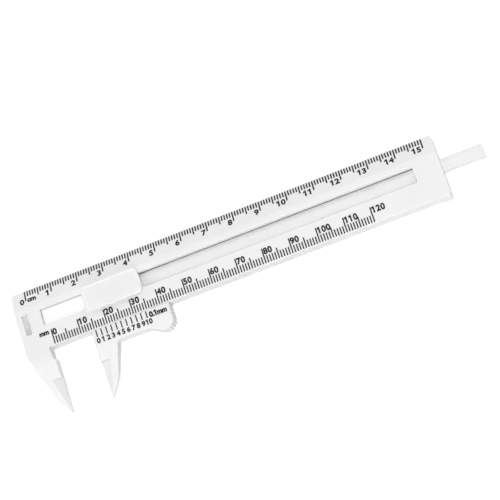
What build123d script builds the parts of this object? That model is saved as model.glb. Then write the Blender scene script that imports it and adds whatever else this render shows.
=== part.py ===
from build123d import *
import os
from math import radians, tan

# Plastic vernier caliper, 150 mm rule with a 120 mm jaw scale, lying on its back.
# X runs along the beam, Y from the jaw tips towards the ruler's bevelled edge, Z out of the printed face.
# The origin is on the fixed jaw's measuring face, halfway through the blade's thickness.
# All lengths are in millimetres.

# Datum
datum_below_beam = 8.0

# Beam with the fixed jaw
beam_reach_left = 9.8
beam_height = 22.9
beam_depth = 7.7
plate_thickness = 1.9
wall_thickness = 1.6
wall_depth = 6.0
channel_height = 14.0
crease_height = 16.1
bevel_drop = 2.4
flange_thickness = 2.0
left_foot_length = 6.8
end_wall_thickness = 3.7
ruler_corner_radius = 1.4
end_corner_radius = 0.9
foot_edge_radius = 0.8
face_edge_radius = 0.25

# Window through the front plate
window_reach_left = 0.45
window_to_end = 9.6
window_low = 8.2
window_height = 5.65

# Moulding gate pocket beside the window
pocket_from_end = 2.1
pocket_width = 2.25
pocket_to_crease = 1.7
pocket_height = 7.9
pocket_depth = 1.5
pocket_corner_radius = 0.5
gate_stub_diameter = 0.8
gate_stub_height = 0.5

# Jaw blades, the same on both jaws
blade_depth = 4.2
blade_root_drop = 4.9
blade_slope_drop = 6.4
blade_slope = 0.14
knee_drop = 18.85
knee_width = 3.9
blade_taper = 18.4
tip_drop = 24.4
tip_width = 0.35
facet_drop = 11.4
facet_ridge_width = 3.45
facet_edge_depth = 1.5
rear_facet_drop = 14.0
tip_rear_relief = 0.45

# Root of the fixed jaw and its relief notch
jaw_root_depth = 4.8
notch_width = 1.0
notch_lip = 0.4
notch_slope_height = 1.1

# Slider with the moving jaw
jaw_opening = 15.3
scale_reach = 120.0
stop_overrun = 0.4
slide_gap = 0.12
body_depth = 5.0
body_height = 6.4
grip_toe = 19.7
grip_centre = 25.8
grip_radius = 3.6
grip_drop = 5.55
grip_toe_radius = 3.0
jaw_corner_radius = 1.0
knurl_count = 8
knurl_groove_radius = 0.45
knurl_groove_depth = 0.3
web_thickness = 1.5
web_drop = 4.8
carriage_start = 2.0
carriage_side_gap = 0.15

# Thumb pad over the window
pad_start = 0.58
pad_length = 21.7
pad_overhang = 3.08
pad_width = 9.3
pad_height = 1.75
pad_corner_radius = 1.7
pad_edge_radius = 0.6
pad_rim = 0.95
pad_dish_depth = 0.3
pad_dish_slope = 60.0
pin_diameter = 2.4
pin_inset = 2.8
pin_length = 5.4
pin_clearance = 0.05

# Depth rod
rod_width = 4.8
rod_thickness = 2.2
rod_low = 8.75
rod_gap = 0.15
rod_border = 1.2
rod_border_drop = 0.35
tongue_length = 5.6
tongue_width = 3.0
tongue_clearance = 0.05

# Planes and ends that follow from the sizes above
lower_y = datum_below_beam
upper_y = lower_y + beam_height
front_z = blade_depth / 2
back_z = front_z - beam_depth
wall_back_z = front_z - wall_depth
plate_back_z = front_z - plate_thickness
pad_left = jaw_opening + pad_start
carriage_left = jaw_opening + carriage_start
carriage_right = pad_left + pad_length - pad_overhang
travel_to_stop = scale_reach - jaw_opening + stop_overrun
window_left = -window_reach_left
window_right = carriage_right + travel_to_stop
crease_y = lower_y + crease_height
window_floor = lower_y + window_low
window_top = window_floor + window_height
beam_left = -beam_reach_left
beam_right = window_right + window_to_end
foot_right = beam_left + left_foot_length
end_wall_left = beam_right - end_wall_thickness
web_right = end_wall_left - travel_to_stop
web_front_z = wall_back_z - slide_gap
web_back_z = web_front_z - web_thickness
rod_front_z = plate_back_z - rod_gap
rod_back_z = rod_front_z - rod_thickness
rod_floor = lower_y + rod_low
rod_middle = rod_floor + rod_width / 2
rod_tip = beam_right + jaw_opening
pin_places = (carriage_left + pin_inset, carriage_right - pin_inset)


def block(x, y, z):
    """Box between three pairs of low and high values."""
    return Pos(x[0], y[0], z[0]) * Box(x[1] - x[0], y[1] - y[0], z[1] - z[0], align=(Align.MIN,) * 3)


def prism(outline, low, high):
    """Closed outline in the XY plane, raised from one height to another."""
    return Pos(0, 0, low) * extrude(make_face(Polyline(*outline, close=True)), high - low)


def beam_run(section, start, end):
    """Section in the YZ plane, run along X from start to end."""
    return extrude(Plane.YZ.offset(start) * make_face(Polyline(*section, close=True)), end - start)


def bevel_z(y):
    """Height of the bevelled ruler face at a given Y."""
    return front_z - bevel_drop * (y - crease_y) / (upper_y - crease_y)


def outer_edge_x(y):
    """Distance of a blade's sloping outer edge from its measuring face."""
    return knee_width + (y - (lower_y - knee_drop)) * tan(radians(blade_taper))


def in_front_of(corner, along, across):
    """Large block that fills the side, facing +Z, of the plane through three points."""
    run = Vector(*along) - Vector(*corner)
    normal = run.cross(Vector(*across) - Vector(*corner))
    side = 4 * tip_drop
    return Plane(corner, run, normal) * Box(side, side, side, align=(Align.CENTER, Align.CENTER, Align.MIN))


def upright_edge(solid, x, y):
    """Edge of a solid that runs along Z nearest to a place in plan."""
    return solid.edges().filter_by(Axis.Z).sort_by_distance((x, y, 0))[0]


def jaw_blade():
    """Tapering blade with the measuring face on X = 0 and its material on the +X side."""
    root_y = lower_y - blade_root_drop
    knee_y = lower_y - knee_drop
    tip_y = lower_y - tip_drop
    slope_y = lower_y - blade_slope_drop
    facet_y = lower_y - facet_drop
    outline = [
        (0, root_y),
        (outer_edge_x(root_y), root_y),
        (knee_width, knee_y),
        (tip_width, tip_y),
        (0, tip_y),
    ]
    blade = prism(outline, -front_z, front_z)

    # The front slopes back from the body, and a sunk facet beside the measuring face narrows the blade to its tip
    slope_end = front_z - blade_slope * (slope_y - tip_y)
    blade -= in_front_of((0, tip_y, slope_end), (knee_width, tip_y, slope_end), (0, slope_y, front_z))
    ridge = (facet_ridge_width, facet_y, front_z - blade_slope * (slope_y - facet_y))
    inner = (0, facet_y, front_z - facet_edge_depth)
    facet_zone = block((-1, knee_width + tip_drop), (tip_y - 1, facet_y), (-blade_depth, blade_depth))
    blade -= in_front_of((tip_width, tip_y, slope_end), ridge, inner) & facet_zone

    # The rear is flat, with a slight relief towards the tip
    relief_y = lower_y - rear_facet_drop
    relief = [(relief_y, -front_z), (tip_y, -front_z), (tip_y, -front_z + tip_rear_relief)]
    blade -= beam_run(relief, -1, knee_width + tip_drop)
    return blade


def make_beam():
    """Open-backed channel with the bevelled ruler, the window, a foot at each end and the fixed jaw."""
    channel_y = lower_y + wall_thickness
    upper_wall_y = channel_y + channel_height
    flange_y = upper_wall_y + wall_thickness
    channel = [
        (lower_y, wall_back_z),
        (lower_y, front_z),
        (crease_y, front_z),
        (upper_y, bevel_z(upper_y)),
        (upper_y, bevel_z(upper_y) - flange_thickness),
        (flange_y, bevel_z(flange_y) - flange_thickness),
        (flange_y, wall_back_z),
        (upper_wall_y, wall_back_z),
        (upper_wall_y, plate_back_z),
        (channel_y, plate_back_z),
        (channel_y, wall_back_z),
    ]
    foot = [
        (lower_y, back_z),
        (lower_y, front_z),
        (crease_y, front_z),
        (upper_y, bevel_z(upper_y)),
        (upper_y, back_z),
    ]
    beam = beam_run(channel, beam_left, beam_right)
    left_foot = beam_run(foot, beam_left, foot_right)
    end_wall = beam_run(foot, end_wall_left, beam_right)
    end_wall = fillet(end_wall.edges().filter_by(Axis.Y).group_by(Axis.Z)[0], foot_edge_radius)
    beam += [left_foot, end_wall]

    # Rounded corners in plan, apart from the corner that runs into the jaw
    beam_length = beam_right - beam_left
    plan = Pos(beam_left, lower_y) * Rectangle(beam_length, beam_height, align=(Align.MIN, Align.MIN))
    plan = fillet(plan.vertices().group_by(Axis.Y)[-1], ruler_corner_radius)
    plan = fillet(plan.vertices().group_by(Axis.X)[-1].sort_by(Axis.Y)[0], end_corner_radius)
    beam &= Pos(0, 0, back_z) * extrude(plan, beam_depth)

    # Fixed jaw, mirrored so that its material lies to the left of the measuring face
    root_y = lower_y - blade_root_drop
    root_back_z = front_z - jaw_root_depth
    root_outline = [
        (0, lower_y),
        (outer_edge_x(lower_y), lower_y),
        (outer_edge_x(root_y), root_y),
        (0, root_y),
    ]
    notch_outline = [
        (0, lower_y),
        (notch_width, lower_y),
        (notch_width, root_y + notch_slope_height),
        (notch_lip, root_y),
        (0, root_y),
    ]
    root = prism(root_outline, root_back_z, front_z)
    root &= block((0, beam_reach_left), (root_y, lower_y), (root_back_z, front_z))
    root -= prism(notch_outline, root_back_z, front_z)
    jaw = root + jaw_blade()
    beam += mirror(jaw, about=Plane.YZ)

    # Window, gate pocket with its stub, and the way out for the depth rod
    beam -= block((window_left, window_right), (window_floor, window_top), (plate_back_z, front_z))
    pocket_left = beam_left + pocket_from_end
    pocket_x = pocket_left + pocket_width / 2
    pocket_y = crease_y - pocket_to_crease - pocket_height / 2
    pocket_z = front_z - pocket_depth
    pocket = Pos(pocket_x, pocket_y, pocket_z) * extrude(
        RectangleRounded(pocket_width, pocket_height, pocket_corner_radius), pocket_depth
    )
    beam -= pocket
    beam += Pos(pocket_x, pocket_y, pocket_z) * extrude(Circle(gate_stub_diameter / 2), gate_stub_height)
    beam -= block(
        (end_wall_left, beam_right),
        (rod_floor - rod_gap, rod_floor + rod_width + rod_gap),
        (rod_back_z - rod_gap, plate_back_z),
    )

    # Softened edges round the printed face and the window
    face = beam.faces().filter_by(Axis.Z).sort_by(Axis.Z)[-1]
    long_edges = face.edges().filter_by(lambda edge: edge.length > window_height / 2)
    soft = long_edges.filter_by(lambda edge: abs(edge.center().Y - crease_y) > face_edge_radius)
    soft = soft.filter_by(lambda edge: edge.center().Y > lower_y - face_edge_radius)
    return fillet(soft, face_edge_radius)


def make_grip():
    """Vernier plate's thumb grip: a round end pulled out of the plate, with ribs around its rim."""
    centre = (jaw_opening + grip_centre, lower_y - grip_drop)
    toe_x = jaw_opening + grip_toe
    top_y = lower_y - slide_gap
    right_x = centre[0] + grip_radius
    low_y = lower_y - body_height
    round_end = Pos(*centre) * Circle(grip_radius)
    straight_side = Polyline((toe_x, low_y), (toe_x, top_y), (right_x, top_y))
    grip = extrude(make_hull(round_end.edges() + straight_side.edges()), -body_depth)

    # The ribs are left between round grooves, evenly spaced down the side and round the end
    rim = Line((right_x, top_y), (right_x, centre[1])) + CenterArc(centre, grip_radius, 0, -90)
    groove_offset = knurl_groove_radius - knurl_groove_depth
    wire = Wire(rim.edges())
    for index in range(knurl_count):
        place = (index + 1) / (knurl_count + 0.5)
        outward = Vector(0, 0, 1).cross(wire % place)
        point = (wire @ place) + outward * groove_offset
        grip -= Pos(point.X, point.Y) * extrude(Circle(knurl_groove_radius), -body_depth)
    return Pos(0, 0, front_z) * grip


def make_slider():
    """Moving jaw, vernier plate and grip, joined by a web behind the beam to the carriage in the window."""
    low_y = lower_y - body_height
    top_y = lower_y - slide_gap
    toe_x = jaw_opening + grip_toe
    slider = block((jaw_opening, toe_x), (low_y, top_y), (front_z - body_depth, front_z))
    slider += make_grip()
    slider = fillet(upright_edge(slider, toe_x, low_y), grip_toe_radius)
    slider += Pos(jaw_opening, 0, 0) * jaw_blade()
    slider = fillet(upright_edge(slider, jaw_opening + outer_edge_x(low_y), low_y), jaw_corner_radius)
    web_x = (jaw_opening, web_right)
    web_low = lower_y - web_drop
    web_top = lower_y + 2 * wall_thickness + channel_height
    slider += block(web_x, (web_low, web_top), (web_back_z, web_front_z))
    slider += block(web_x, (web_low, top_y), (web_front_z, front_z - body_depth))
    carriage = block(
        (carriage_left, carriage_right),
        (window_floor + carriage_side_gap, window_top - carriage_side_gap),
        (web_front_z, front_z + slide_gap),
    )
    half_slot = tongue_width / 2 + tongue_clearance
    carriage -= block(
        (carriage_right - tongue_length - tongue_clearance, carriage_right),
        (rod_middle - half_slot, rod_middle + half_slot),
        (rod_back_z - tongue_clearance, rod_front_z + tongue_clearance),
    )
    for pin_x in pin_places:
        hole = extrude(Circle(pin_diameter / 2 + pin_clearance), -pin_length - pin_clearance)
        carriage -= Pos(pin_x, rod_middle, front_z + slide_gap) * hole
    return slider + carriage


def make_thumb_pad():
    """Dished cap over the window, with two pins that peg it and the rod to the carriage."""
    base_z = front_z + slide_gap
    middle_x = pad_left + pad_length / 2
    middle_y = (window_floor + window_top) / 2
    pad = extrude(RectangleRounded(pad_length, pad_width, pad_corner_radius), pad_height)
    pad = fillet(pad.faces().sort_by(Axis.Z)[-1].edges(), pad_edge_radius)
    dish_length = pad_length - 2 * pad_rim
    dish_width = pad_width - 2 * pad_rim
    dish = Plane.XY.offset(pad_height) * RectangleRounded(dish_length, dish_width, pad_corner_radius)
    pad -= extrude(dish, pad_dish_depth, dir=(0, 0, -1), taper=pad_dish_slope)
    pad = Pos(middle_x, middle_y, base_z) * pad
    for pin_x in pin_places:
        pad += Pos(pin_x, rod_middle, base_z) * extrude(Circle(pin_diameter / 2), -pin_length)
    return pad


def make_depth_rod():
    """Flat rod behind the window, tongued into the carriage, with a bevelled border at its tip."""
    rod_top = rod_floor + rod_width
    section = [
        (rod_floor, rod_back_z),
        (rod_floor, rod_front_z),
        (rod_top - rod_border, rod_front_z),
        (rod_top, rod_front_z - rod_border_drop),
        (rod_top, rod_back_z),
    ]
    rod = beam_run(section, carriage_right, rod_tip)
    tip_bevel = Polyline(
        (rod_tip - rod_border, rod_front_z),
        (rod_tip, rod_front_z),
        (rod_tip, rod_front_z - rod_border_drop),
        close=True,
    )
    rod -= extrude(Plane.XZ.offset(-rod_floor) * make_face(tip_bevel), -rod_width)
    tongue_y = (rod_middle - tongue_width / 2, rod_middle + tongue_width / 2)
    rod += block((carriage_right - tongue_length, carriage_right), tongue_y, (rod_back_z, rod_front_z))
    pin_hole = extrude(Circle(pin_diameter / 2 + pin_clearance), rod_thickness)
    return rod - Pos(pin_places[1], rod_middle, rod_back_z) * pin_hole


pieces = {
    "beam_with_fixed_jaw": make_beam(),
    "slider_with_moving_jaw": make_slider(),
    "thumb_pad": make_thumb_pad(),
    "depth_rod": make_depth_rod(),
}

os.makedirs("parts", exist_ok=True)
for name, piece in pieces.items():
    export_step(piece, f"parts/{name}.step")
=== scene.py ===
import math

import bpy
from mathutils import Euler, Matrix, Vector


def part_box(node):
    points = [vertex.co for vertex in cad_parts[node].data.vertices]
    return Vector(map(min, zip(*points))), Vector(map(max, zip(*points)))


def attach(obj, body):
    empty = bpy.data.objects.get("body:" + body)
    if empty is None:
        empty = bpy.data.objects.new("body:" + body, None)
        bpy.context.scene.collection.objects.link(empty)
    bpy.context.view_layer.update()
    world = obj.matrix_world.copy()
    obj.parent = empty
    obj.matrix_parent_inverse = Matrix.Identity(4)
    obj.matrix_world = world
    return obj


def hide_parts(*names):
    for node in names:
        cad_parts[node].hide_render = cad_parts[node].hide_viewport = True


# Plastic vernier caliper lying on its back on a pale table.
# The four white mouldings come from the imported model.
# The printed scales and a finer thumb pad are made here.

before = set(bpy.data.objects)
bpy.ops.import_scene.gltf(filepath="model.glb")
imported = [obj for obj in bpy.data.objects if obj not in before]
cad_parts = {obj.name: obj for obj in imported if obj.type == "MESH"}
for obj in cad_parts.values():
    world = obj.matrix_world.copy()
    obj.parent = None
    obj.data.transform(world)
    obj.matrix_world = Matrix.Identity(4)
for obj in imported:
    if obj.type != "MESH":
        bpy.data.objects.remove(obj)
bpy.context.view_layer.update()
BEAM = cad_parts["beam_with_fixed_jaw"]
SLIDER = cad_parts["slider_with_moving_jaw"]
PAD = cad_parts["thumb_pad"]
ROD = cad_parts["depth_rod"]

# Sizes in millimetres, in the part's own frame
MM = 0.001
JAW_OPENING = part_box("slider_with_moving_jaw")[0].x / MM
ROD_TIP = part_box("depth_rod")[1].x / MM
TABLE_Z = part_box("beam_with_fixed_jaw")[0].z / MM
EDGE_Y = 8.0
CREASE_Y = EDGE_Y + 16.1
RULER_TOP_Y = EDGE_Y + 22.9
FRONT_Z = 2.1
BEVEL_DROP = 2.4
ROD_MIDDLE = EDGE_Y + 11.15
HAIR = 0.01

# Print: thickness of the ink, the zero's distance from the measuring face, and the lines
INK = 0.012
FIGURE_INK = 0.015
SCALE_ZERO = 1.55
JAW_TICK_WIDTH = 0.46
RULER_TICK_WIDTH = 0.52
VERNIER_PITCH = 1.9

# Thumb pad
PAD_CLEARANCE = 0.12
PAD_CORNER = 1.7
PAD_ROUNDING = 0.25
PAD_SIDE_RIM = 0.42
PAD_END_RIM = 1.15
PAD_DISH_WALL = 0.16
PAD_DISH_DEPTH = 0.2
PAD_SOFT_EDGE = 0.12
PAD_PINS = (20.1, 31.7)
PAD_PIN_RADIUS = 1.2
PAD_PIN_RING = 0.4
PAD_PIN_SOFT_EDGE = 0.2


def clear_selection():
    if bpy.context.object and bpy.context.object.mode != "OBJECT":
        bpy.ops.object.mode_set(mode="OBJECT")
    bpy.ops.object.select_all(action="DESELECT")


def take(piece):
    """Selects one piece alone."""
    clear_selection()
    piece.select_set(True)
    bpy.context.view_layer.objects.active = piece


def joined(parts, name):
    """Several meshes made one, under one name."""
    take(parts[0])
    for part in parts:
        part.select_set(True)
    if len(parts) > 1:
        bpy.ops.object.join()
    piece = bpy.context.object
    piece.name = name
    piece.data.name = name
    return piece


def settle(piece, place=Matrix.Identity(4)):
    """Moves a piece to its place and leaves its object at the origin, unturned and unscaled."""
    take(piece)
    piece.matrix_world = place @ piece.matrix_world
    bpy.ops.object.transform_apply(location=True, rotation=True, scale=True)
    return piece


def pick(piece, kind, test):
    """Leaves the piece in edit mode with only the edges or faces selected whose corners pass a test."""
    take(piece)
    bpy.ops.object.mode_set(mode="EDIT")
    bpy.ops.mesh.select_mode(type=kind)
    bpy.ops.mesh.select_all(action="DESELECT")
    bpy.ops.object.mode_set(mode="OBJECT")
    elements = piece.data.edges if kind == "EDGE" else piece.data.polygons
    for element in elements:
        element.select = test([piece.data.vertices[index].co for index in element.vertices])
    bpy.ops.object.mode_set(mode="EDIT")


def upright(corners):
    """True for an edge that runs straight up."""
    foot, head = corners
    return abs(foot.z - head.z) > max(abs(foot.x - head.x), abs(foot.y - head.y))


def finished(piece, kind, **settings):
    """Adds a modifier with its settings and applies it."""
    take(piece)
    modifier = piece.modifiers.new(kind.lower(), kind)
    for key, value in settings.items():
        setattr(modifier, key, value)
    bpy.ops.object.modifier_apply(modifier=modifier.name)
    return piece


def softened(piece, width, angle):
    """Rounds the edges that are sharper than an angle."""
    return finished(
        piece, "BEVEL", width=width * MM, segments=2, limit_method="ANGLE",
        angle_limit=math.radians(angle),
    )


# Printed scales

def tick(x, low, high, width):
    """One printed line with softened ends, its foot on z = 0."""
    clear_selection()
    centre = (x * MM, (low + high) / 2 * MM, INK / 2 * MM)
    bpy.ops.mesh.primitive_cube_add(size=1, location=centre)
    line = bpy.context.object
    line.scale = (width * MM, (high - low) * MM, INK * MM)
    settle(line)
    pick(line, "EDGE", upright)
    bpy.ops.mesh.bevel(offset=width * 0.3 * MM, segments=2)
    bpy.ops.object.mode_set(mode="OBJECT")
    return line


def repeated(piece, counts_and_steps):
    """The piece repeated along X, first in a group and then group by group."""
    for count, step in counts_and_steps:
        along = (step * MM, 0, 0)
        finished(
            piece, "ARRAY", count=count, use_relative_offset=False, use_constant_offset=True,
            constant_offset_displace=along,
        )
    return piece


def figure_one(weight):
    """A figure one with a slanted stroke at its head, as tall as the other figures."""
    half = 0.05 + weight
    top = 0.72 + weight
    flag = 0.09 + 2 * weight
    outline = [
        (-half, -weight),
        (half, -weight),
        (half, top),
        (0.4 * half, top),
        (-half - 0.16, top - 0.13),
        (-half - 0.16, top - 0.13 - flag),
        (-half, top - 0.07 - flag),
    ]
    clear_selection()
    bpy.ops.mesh.primitive_circle_add(vertices=len(outline), radius=1, fill_type="NGON")
    one = bpy.context.object
    for vertex, (x, y) in zip(one.data.vertices, outline):
        vertex.co = (x, y, -0.5)
    bpy.ops.object.mode_set(mode="EDIT")
    bpy.ops.mesh.select_all(action="SELECT")
    bpy.ops.mesh.extrude_region_move(TRANSFORM_OT_translate={"value": (0, 0, 1)})
    bpy.ops.mesh.select_all(action="SELECT")
    bpy.ops.mesh.normals_make_consistent(inside=False)
    bpy.ops.object.mode_set(mode="OBJECT")
    return one


def glyph(text, x, y, height, width, weight):
    """One printed character or word, centred on x with its foot on y, as a thin closed mesh."""
    if text == "1":
        letter = figure_one(weight)
    else:
        clear_selection()
        bpy.ops.object.text_add()
        letter = bpy.context.object
        letter.data.body = text
        letter.data.align_x = "CENTER"
        letter.data.resolution_u = 5
        letter.data.offset = weight
        letter.data.extrude = 0.5
        bpy.ops.object.convert(target="MESH")
        letter = bpy.context.object
    letter.scale = (width * MM, height * MM, FIGURE_INK * MM)
    letter.location = (x * MM, y * MM, FIGURE_INK / 2 * MM)
    return settle(letter)


def figures(text, x, y, pitch, height, width, weight):
    """A number printed figure by figure at an even pitch, the first one centred on x."""
    return [
        glyph(mark, x + index * pitch, y, height, width, weight)
        for index, mark in enumerate(text)
    ]


def printed(ticks, numbers, name, place):
    """A scale's lines and its figures, each made one piece and put in its place."""
    return [
        settle(joined(ticks, name + "_ticks"), place),
        settle(joined(numbers, name + "_numbers"), place),
    ]


def jaw_scale_print():
    """The 120 mm scale along the beam's lower edge, read against the vernier."""
    foot = 0.35
    top_of_one = 3.05
    top_of_five = 4.3
    top_of_ten = 5.85
    ticks = [
        repeated(tick(SCALE_ZERO + 1, foot, top_of_one, JAW_TICK_WIDTH), [(4, 1), (24, 5)]),
        repeated(tick(SCALE_ZERO + 5, foot, top_of_five, JAW_TICK_WIDTH), [(12, 10)]),
        repeated(tick(SCALE_ZERO, foot, top_of_ten, JAW_TICK_WIDTH), [(13, 10)]),
    ]
    numbers = []
    for value in range(0, 121, 10):
        right_of_tick = SCALE_ZERO + value + 1.05
        numbers += figures(
            str(value), right_of_tick, y=3.6, pitch=1.62, height=3.05, width=2.95, weight=0.047,
        )
    numbers.append(glyph("mm", -1.35, y=4.5, height=2.4, width=2.35, weight=0.06))
    place = Matrix.Translation((0, EDGE_Y * MM, FRONT_Z * MM))
    return printed(ticks, numbers, "jaw_scale", place)


def ruler_print():
    """The 15 cm scale on the bevelled edge."""
    zero = -4.66
    top = 22.75
    foot_of_one = 20.71
    foot_of_five = 19.75
    foot_of_ten = 18.98
    ticks = [
        repeated(tick(zero + 1, foot_of_one, top, RULER_TICK_WIDTH), [(4, 1), (30, 5)]),
        repeated(tick(zero + 5, foot_of_five, top, RULER_TICK_WIDTH), [(15, 10)]),
        repeated(tick(zero, foot_of_ten, top, RULER_TICK_WIDTH), [(16, 10)]),
    ]
    numbers = []
    pitch = 1.7
    for value in range(16):
        left_of_tick = zero + value * 10 - 1.45
        first = left_of_tick - (pitch if value > 9 else 0)
        numbers += figures(str(value), first, y=18.05, pitch=pitch, height=2.8, width=3.15, weight=0.048)
    numbers.append(glyph("cm", -2.4, y=18.4, height=2.5, width=2.75, weight=0.056))

    # Laid on the slope of the bevel, and stretched so that it covers the same width seen from the front
    slope = math.atan2(BEVEL_DROP, RULER_TOP_Y - CREASE_Y)
    place = (
        Matrix.Translation((0, CREASE_Y * MM, FRONT_Z * MM))
        @ Matrix.Rotation(-slope, 4, "X")
        @ Matrix.Diagonal((1, 1 / math.cos(slope), 1, 1))
        @ Matrix.Translation((0, (EDGE_Y - CREASE_Y) * MM, 0))
    )
    return printed(ticks, numbers, "ruler", place)


def vernier_print():
    """Eleven lines 1.9 mm apart on the slider, each with its number, and the reading's unit."""
    zero = JAW_OPENING + SCALE_ZERO
    ticks = [repeated(tick(zero, -2.85, -0.3, JAW_TICK_WIDTH), [(11, VERNIER_PITCH)])]
    numbers = []
    for value in range(10):
        x = zero + value * VERNIER_PITCH
        numbers.append(glyph(str(value), x, y=-5.05, height=2.45, width=2.55, weight=0.048))
    numbers += figures("10", zero + 18.6, y=-5.05, pitch=1.25, height=2.45, width=2.45, weight=0.048)
    numbers += figures("0.1", zero + 20.6, y=-2.85, pitch=0.88, height=2.65, width=2.6, weight=0.06)
    numbers.append(glyph("mm", zero + 24.7, y=-2.85, height=2.55, width=2.35, weight=0.06))
    place = Matrix.Translation((0, EDGE_Y * MM, FRONT_Z * MM))
    return printed(ticks, numbers, "vernier", place)


# Thumb pad

def pad_pin(place, length):
    """One pin that pegs the cap and the rod to the carriage."""
    clear_selection()
    bpy.ops.mesh.primitive_cylinder_add(
        vertices=32, radius=PAD_PIN_RADIUS * MM, depth=length, location=place,
    )
    pin = settle(bpy.context.object)
    pick(pin, "FACE", lambda corners: max(corner.z for corner in corners) < -length / 2)
    bpy.ops.mesh.inset(thickness=PAD_PIN_RING * MM, depth=0)
    bpy.ops.object.mode_set(mode="OBJECT")
    return softened(pin, PAD_PIN_SOFT_EDGE, 40)


def thumb_cap():
    """Dished cap with narrow rims at its sides and wide ones at its ends, and two pins under it."""
    low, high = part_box("thumb_pad")
    base = (FRONT_Z + PAD_CLEARANCE) * MM
    size = Vector((high.x - low.x, high.y - low.y, high.z - base))
    middle = Vector(((low.x + high.x) / 2, (low.y + high.y) / 2, base))
    clear_selection()
    bpy.ops.mesh.primitive_cube_add(size=1, location=(0, 0, size.z / 2))
    cap = bpy.context.object
    cap.scale = size
    settle(cap)
    pick(cap, "EDGE", upright)
    bpy.ops.mesh.bevel(offset=PAD_CORNER * MM, segments=8)
    pick(cap, "EDGE", lambda corners: min(corner.z for corner in corners) > size.z / 2)
    bpy.ops.mesh.bevel(offset=PAD_ROUNDING * MM, segments=3)

    # The rim is set in from the outline, drawn in further at both ends, and the dish is sunk inside it
    pick(cap, "FACE", lambda corners: min(corner.z for corner in corners) > size.z - HAIR * MM)
    bpy.ops.mesh.inset(thickness=(PAD_SIDE_RIM - PAD_ROUNDING) * MM, depth=0)
    inside = size.x - 2 * PAD_SIDE_RIM * MM
    bpy.ops.transform.resize(value=((size.x - 2 * PAD_END_RIM * MM) / inside, 1, 1))
    bpy.ops.mesh.inset(thickness=PAD_DISH_WALL * MM, depth=-PAD_DISH_DEPTH * MM)
    bpy.ops.object.mode_set(mode="OBJECT")
    softened(cap, PAD_SOFT_EDGE, 35)

    length = base - low.z
    parts = [cap]
    for pin_x in PAD_PINS:
        parts.append(pad_pin((pin_x * MM - middle.x, ROD_MIDDLE * MM - middle.y, -length / 2), length))
    cap = settle(joined(parts, "thumb_cap"), Matrix.Translation(middle))
    take(cap)
    bpy.ops.object.shade_smooth_by_angle(angle=math.radians(40))
    return finished(cap, "WEIGHTED_NORMAL", keep_sharp=True)


# Steps that the materials share

def node(tree, kind, **settings):
    """Adds a shader node with its settings."""
    made = tree.nodes.new(kind)
    for key, value in settings.items():
        setattr(made, key, value)
    return made


def combined(tree, operation, first, second):
    """Two outputs put together by one mathematical operation."""
    maths = node(tree, "ShaderNodeMath", operation=operation)
    tree.links.new(first, maths.inputs[0])
    tree.links.new(second, maths.inputs[1])
    return maths.outputs["Value"]


def graded(tree, source, outer, inner, start=0.0, end=1.0):
    """A value that goes from start to end while an output goes from its outer to its inner limit."""
    grade = node(tree, "ShaderNodeMapRange")
    grade.inputs["From Min"].default_value = outer
    grade.inputs["From Max"].default_value = inner
    grade.inputs["To Min"].default_value = start
    grade.inputs["To Max"].default_value = end
    tree.links.new(source, grade.inputs["Value"])
    return grade.outputs["Result"]


def masked(tree, tests):
    """1 where every output is past its inner limit, fading to 0 at its outer one."""
    inside = None
    for source, outer, inner in tests:
        fade = graded(tree, source, outer, inner)
        inside = fade if inside is None else combined(tree, "MULTIPLY", inside, fade)
    return inside


def split_up(tree, source):
    """The X, Y and Z of an output."""
    parts = node(tree, "ShaderNodeSeparateXYZ")
    tree.links.new(source, parts.inputs["Vector"])
    return parts.outputs


def place_on(tree):
    """Place of the surface in the part's frame."""
    return split_up(tree, node(tree, "ShaderNodeTexCoord").outputs["Object"])


def facing_of(tree):
    """Direction in which the surface faces."""
    return split_up(tree, node(tree, "ShaderNodeNewGeometry").outputs["Normal"])


def mottled(tree, scale, detail):
    """Noise that is fixed to the piece."""
    place = node(tree, "ShaderNodeTexCoord")
    noise = node(tree, "ShaderNodeTexNoise")
    noise.inputs["Scale"].default_value = scale
    noise.inputs["Detail"].default_value = detail
    tree.links.new(place.outputs["Object"], noise.inputs["Vector"])
    return noise.outputs["Fac"]


def coloured(tree, source, *stops):
    """Colour that changes from one stop to the other as an output rises."""
    ramp = node(tree, "ShaderNodeValToRGB")
    for element, (position, colour) in zip(ramp.color_ramp.elements, stops):
        element.position = position
        element.color = (*colour, 1)
    tree.links.new(source, ramp.inputs["Fac"])
    return ramp.outputs["Color"]


def tinted(tree, zone, colour):
    """Gives the plastic another colour in a zone."""
    base = tree.nodes["Principled BSDF"].inputs["Base Color"]
    blend = node(tree, "ShaderNodeMix", data_type="RGBA")
    blend.inputs["B"].default_value = (*colour, 1)
    tree.links.new(zone, blend.inputs["Factor"])
    tree.links.new(base.links[0].from_socket, blend.inputs["A"])
    tree.links.new(blend.outputs["Result"], base)


def new_material(name):
    material = bpy.data.materials.new(name)
    material.use_nodes = True
    return material


def dress(piece, material):
    piece.data.materials.clear()
    piece.data.materials.append(material)


# Plastic and ink

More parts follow.
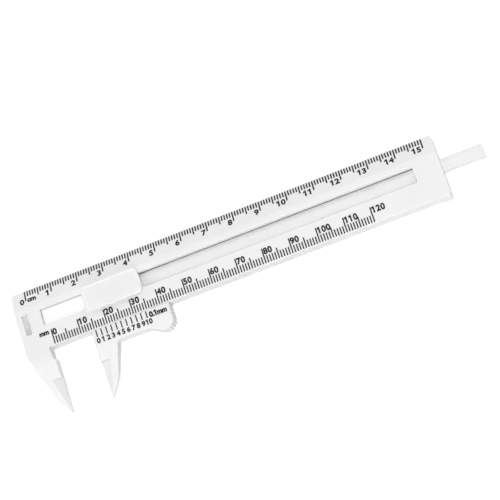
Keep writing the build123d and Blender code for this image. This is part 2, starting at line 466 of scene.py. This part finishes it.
def satin_plastic(name, tint, roughness, grain, softness=0.12, scatter=0.35):
    """White moulded polystyrene: faint flow shading, a fine moulded grain, softened edges and a painted
    highlight that makes the edges paler.
    """
    material = new_material(name)
    tree = material.node_tree
    shader = tree.nodes["Principled BSDF"]
    flow = mottled(tree, scale=55, detail=3)
    flow_low = 0.3
    flow_high = 0.7
    streak = (tint[0] * 0.985, tint[1] * 0.985, tint[2] * 0.99)
    shade = coloured(tree, flow, (flow_low, streak), (flow_high, tint))
    tree.links.new(shade, shader.inputs["Base Color"])

    # Painted highlight: rounded edges are given a paler colour
    rounded = node(tree, "ShaderNodeBevel", samples=8)
    rounded.inputs["Radius"].default_value = 0.35 * MM
    surface = node(tree, "ShaderNodeNewGeometry")
    turn = node(tree, "ShaderNodeVectorMath", operation="DOT_PRODUCT")
    tree.links.new(rounded.outputs["Normal"], turn.inputs[0])
    tree.links.new(surface.outputs["Normal"], turn.inputs[1])
    tinted(tree, graded(tree, turn.outputs["Value"], 1.0, 0.94), (0.97, 0.97, 0.97))

    gloss = graded(tree, flow, flow_low, flow_high, roughness - 0.04, roughness + 0.05)
    tree.links.new(gloss, shader.inputs["Roughness"])

    # Moulded grain over softened edges
    soft_edge = node(tree, "ShaderNodeBevel", samples=6)
    soft_edge.inputs["Radius"].default_value = softness * MM
    bump = node(tree, "ShaderNodeBump")
    bump.inputs["Strength"].default_value = grain
    bump.inputs["Distance"].default_value = 0.02 * MM
    tree.links.new(mottled(tree, scale=2200, detail=2), bump.inputs["Height"])
    tree.links.new(soft_edge.outputs["Normal"], bump.inputs["Normal"])
    tree.links.new(bump.outputs["Normal"], shader.inputs["Normal"])
    shader.inputs["IOR"].default_value = 1.5
    shader.inputs["Subsurface Weight"].default_value = scatter
    shader.inputs["Subsurface Radius"].default_value = (1, 1, 1)
    shader.inputs["Subsurface Scale"].default_value = 0.8 * MM
    return material


def thin_blade(material, colour):
    """Painted light: a paler colour on the front of a jaw blade, standing in for the light that the
    blade passes because it is thinner than the beam.
    """
    tree = material.node_tree
    below_beam = ((EDGE_Y - 2) * MM, (EDGE_Y - 7) * MM)
    towards_front = (0.8, 0.9)
    zone = masked(tree, (
        (place_on(tree)["Y"], *below_beam),
        (facing_of(tree)["Z"], *towards_front),
    ))
    tinted(tree, zone, colour)


def grey_facet(material, side, colour):
    """Painted shade: a greyer colour on the facet that narrows a jaw to its tip, on the side (1 or -1)
    towards its measuring face.
    """
    tree = material.node_tree
    facing = facing_of(tree)
    near_tip = (-3.3 * MM, -3.5 * MM)
    sideways = (side * 0.1, side * 0.18)
    towards_front = (0.85, 0.9)
    zone = masked(tree, (
        (place_on(tree)["Y"], *near_tip),
        (facing["X"], *sideways),
        (facing["Z"], *towards_front),
    ))
    tinted(tree, zone, colour)


def gate_mark(material, colour):
    """Painted shade: a greyer floor in the moulding gate pocket at the ruler's left end."""
    tree = material.node_tree
    place = place_on(tree)
    left = (-7.9 * MM, -7.6 * MM)
    right = (-5.25 * MM, -5.55 * MM)
    below_front = ((FRONT_Z - 0.5) * MM, (FRONT_Z - 1) * MM)
    low = ((CREASE_Y - 9.8) * MM, (CREASE_Y - 9.5) * MM)
    high = ((CREASE_Y - 1.5) * MM, (CREASE_Y - 1.8) * MM)
    zone = masked(tree, (
        (place["X"], *left),
        (place["X"], *right),
        (place["Z"], *below_front),
        (place["Y"], *low),
        (place["Y"], *high),
    ))
    tinted(tree, zone, colour)


def dull_side(material, colour):
    """Painted shade: a duller outer side of the moving jaw, away from its measuring face and strongest
    at its root.
    """
    tree = material.node_tree
    place = place_on(tree)
    root = (EDGE_Y - 8) * MM
    beam_side = ((EDGE_Y - 4) * MM, root)
    tip_side = ((EDGE_Y - 34) * MM, root)
    sideways = (0.5, 0.8)
    zone = masked(tree, (
        (place["Y"], *beam_side),
        (place["Y"], *tip_side),
        (facing_of(tree)["X"], *sideways),
    ))
    tinted(tree, zone, colour)


def pale_rim(material, colour):
    """Painted highlight: a paler colour on the rounded rims, sides and back, everywhere but on the flat
    front.
    """
    tree = material.node_tree
    away_from_front = (0.99, 0.95)
    tinted(tree, masked(tree, ((facing_of(tree)["Z"], *away_from_front),)), colour)


def handled_tip(material, colour):
    """Painted shade: a duller end of the depth rod."""
    tree = material.node_tree
    near_tip = ((ROD_TIP - 16) * MM, (ROD_TIP - 14) * MM)
    tinted(tree, masked(tree, ((place_on(tree)["X"], *near_tip),)), colour)


def scale_ink(name):
    """Black pad-printed ink, a little uneven in depth."""
    material = new_material(name)
    tree = material.node_tree
    shader = tree.nodes["Principled BSDF"]
    cover = mottled(tree, scale=900, detail=3)
    shade = coloured(tree, cover, (0.35, (0.006, 0.006, 0.008)), (0.75, (0.022, 0.022, 0.026)))
    tree.links.new(shade, shader.inputs["Base Color"])
    shader.inputs["Roughness"].default_value = 0.55
    shader.inputs["Specular IOR Level"].default_value = 0.2
    return material


# Pieces

# Besides grain and flow, the mouldings carry painted light and shade: paler blade fronts and rims, and
# greyer facets, gate pocket, jaw side and rod end
beam_finish = satin_plastic("white_beam", (0.86, 0.86, 0.865), roughness=0.38, grain=0.12)
thin_blade(beam_finish, (0.9, 0.9, 0.905))
grey_facet(beam_finish, 1, (0.765, 0.765, 0.77))
gate_mark(beam_finish, (0.74, 0.74, 0.75))
dress(BEAM, beam_finish)

slider_finish = satin_plastic(
    "white_slider", (0.86, 0.86, 0.865), roughness=0.38, grain=0.12, softness=0.45,
)
thin_blade(slider_finish, (0.885, 0.885, 0.89))
grey_facet(slider_finish, -1, (0.85, 0.85, 0.855))
dull_side(slider_finish, (0.72, 0.72, 0.73))
dress(SLIDER, slider_finish)

rod_finish = satin_plastic("white_rod", (0.88, 0.88, 0.88), roughness=0.36, grain=0.1, scatter=0.1)
pale_rim(rod_finish, (0.98, 0.98, 0.98))
handled_tip(rod_finish, (0.845, 0.845, 0.845))
dress(ROD, rod_finish)

pad_finish = satin_plastic("white_pad", (0.855, 0.855, 0.855), roughness=0.42, grain=0.12)
pale_rim(pad_finish, (0.98, 0.98, 0.98))
dress(PAD, pad_finish)
cap = thumb_cap()
dress(cap, pad_finish)
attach(cap, "slider")
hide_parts("thumb_pad")

ink = scale_ink("scale_ink")
for print_run, body in ((jaw_scale_print, "beam"), (ruler_print, "beam"), (vernier_print, "slider")):
    for piece in print_run():
        dress(piece, ink)
        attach(piece, body)


# Table, light and camera

def under_channel(tree):
    """Mask of a painted shadow: 1 on the strip of table under the channel's upper side, fading out under
    the pad, else 0.
    """
    place = place_on(tree)
    left = (16 * MM, 30 * MM)
    right = (147 * MM, 145 * MM)
    near = (21.5 * MM, 22.3 * MM)
    far = (25.2 * MM, 24.9 * MM)
    return masked(tree, (
        (place["X"], *left),
        (place["X"], *right),
        (place["Y"], *near),
        (place["Y"], *far),
    ))


def pale_table():
    """Wide white table: it glows white to the camera and still takes a faint shadow."""
    clear_selection()
    bpy.ops.mesh.primitive_plane_add(size=6)
    table = bpy.context.object
    table.name = "table"
    settle(table, Matrix.Translation((0.07, 0.02, (TABLE_Z - 2 * HAIR) * MM)))
    material = new_material("pale_table")
    tree = material.node_tree
    tree.nodes.clear()
    links = tree.links
    path = node(tree, "ShaderNodeLightPath").outputs

    # White backing for the camera, with a painted shadow: dimmed on the strip under the channel where
    # ambient occlusion finds the channel shut
    open_sky = node(tree, "ShaderNodeAmbientOcclusion", samples=16)
    open_sky.inputs["Distance"].default_value = 12 * MM
    shut = graded(tree, open_sky.outputs["AO"], 0.3, 0.18)
    dim = combined(tree, "MULTIPLY", under_channel(tree), shut)
    white_to_dim = graded(tree, dim, 0, 1, 0.93, 0.1)
    glow = combined(tree, "MULTIPLY", white_to_dim, path["Is Camera Ray"])
    backing = node(tree, "ShaderNodeEmission")
    links.new(glow, backing.inputs["Strength"])

    # Plain white paper for the light that bounces, darker to the camera so that it only adds the shadow
    mirrored = combined(tree, "MAXIMUM", path["Is Glossy Ray"], path["Is Transmission Ray"])
    paper_white = graded(tree, mirrored, 0, 1, 0.9, 1)
    drop_for_camera = graded(tree, path["Is Camera Ray"], 0, 1, 0, 0.77)
    paper = node(tree, "ShaderNodeBsdfDiffuse")
    links.new(combined(tree, "SUBTRACT", paper_white, drop_for_camera), paper.inputs["Color"])

    front = node(tree, "ShaderNodeAddShader")
    links.new(backing.outputs["Emission"], front.inputs[0])
    links.new(paper.outputs["BSDF"], front.inputs[1])

    # Clear from below and to the lamp under it, so that the caliper's back can be looked at
    underside = node(tree, "ShaderNodeNewGeometry").outputs["Backfacing"]
    clear = node(tree, "ShaderNodeBsdfTransparent")
    both = node(tree, "ShaderNodeMixShader")
    links.new(combined(tree, "MAXIMUM", underside, path["Is Shadow Ray"]), both.inputs["Fac"])
    links.new(front.outputs["Shader"], both.inputs[1])
    links.new(clear.outputs["BSDF"], both.inputs[2])
    out = node(tree, "ShaderNodeOutputMaterial")
    links.new(both.outputs["Shader"], out.inputs["Surface"])
    dress(table, material)


def white_surroundings():
    """Surroundings white to the camera and in reflections, and nearly dark as a source of light."""
    world = bpy.data.worlds.new("studio")
    bpy.context.scene.world = world
    world.use_nodes = True
    tree = world.node_tree
    tree.nodes.clear()
    path = node(tree, "ShaderNodeLightPath").outputs
    seen = combined(tree, "ADD", path["Is Camera Ray"], path["Is Glossy Ray"])
    seen = combined(tree, "ADD", seen, path["Is Transmission Ray"])
    sky = node(tree, "ShaderNodeBackground")
    sky.inputs["Color"].default_value = (1, 1, 1, 1)
    tree.links.new(graded(tree, seen, 0, 1, 0.02, 1), sky.inputs["Strength"])
    out = node(tree, "ShaderNodeOutputWorld")
    tree.links.new(sky.outputs["Background"], out.inputs["Surface"])


def soft_lamp(name, toward, power, width=0.7):
    """Round lamp in a direction from the caliper's middle, turned to face it."""
    middle = Vector((0.07, 0.015, 0))
    distance = 1.2
    lamp = bpy.data.lights.new(name, "AREA")
    lamp.shape = "DISK"
    lamp.size = width
    lamp.energy = power
    stand = bpy.data.objects.new(name, lamp)
    bpy.context.scene.collection.objects.link(stand)
    toward = Vector(toward).normalized()
    stand.location = middle + toward * distance
    stand.rotation_euler = toward.to_track_quat("Z", "Y").to_euler()


def photo_camera():
    """Camera where the photograph was taken from, worked out from the printed scales."""
    camera = bpy.data.cameras.new("photo_camera")
    camera.sensor_fit = "HORIZONTAL"
    camera.sensor_width = 36
    camera.lens = 129.6
    view = bpy.data.objects.new("photo_camera", camera)
    bpy.context.scene.collection.objects.link(view)
    place = Vector((173.727, -148.283, 593.533)) * MM
    turn = Euler([math.radians(angle) for angle in (11.5774, 13.549, -18.3397)], "XYZ")
    view.matrix_world = Matrix.Translation(place) @ turn.to_matrix().to_4x4()
    bpy.context.scene.camera = view


pale_table()
white_surroundings()
soft_lamp("camera_lamp", (0.155, -0.263, 0.952), 4.35)
soft_lamp("low_camera_lamp", (-0.1, -0.55, 0.83), 1.25)
soft_lamp("left_lamp", (-0.7, -0.35, 0.62), 1.5)
soft_lamp("low_lamp", (0, -0.85, 0.53), 5.9)
soft_lamp("high_lamp", (0.05, 0.5, 0.86), 1.1)
soft_lamp("upper_left_lamp", (-0.6, 0.6, 0.53), 3.85)
soft_lamp("upper_right_lamp", (0.6, 0.6, 0.53), 5.7)
soft_lamp("under_lamp", (0, 0, -1), 1, width=0.2)
photo_camera()
bpy.context.scene.view_settings.view_transform = "Standard"
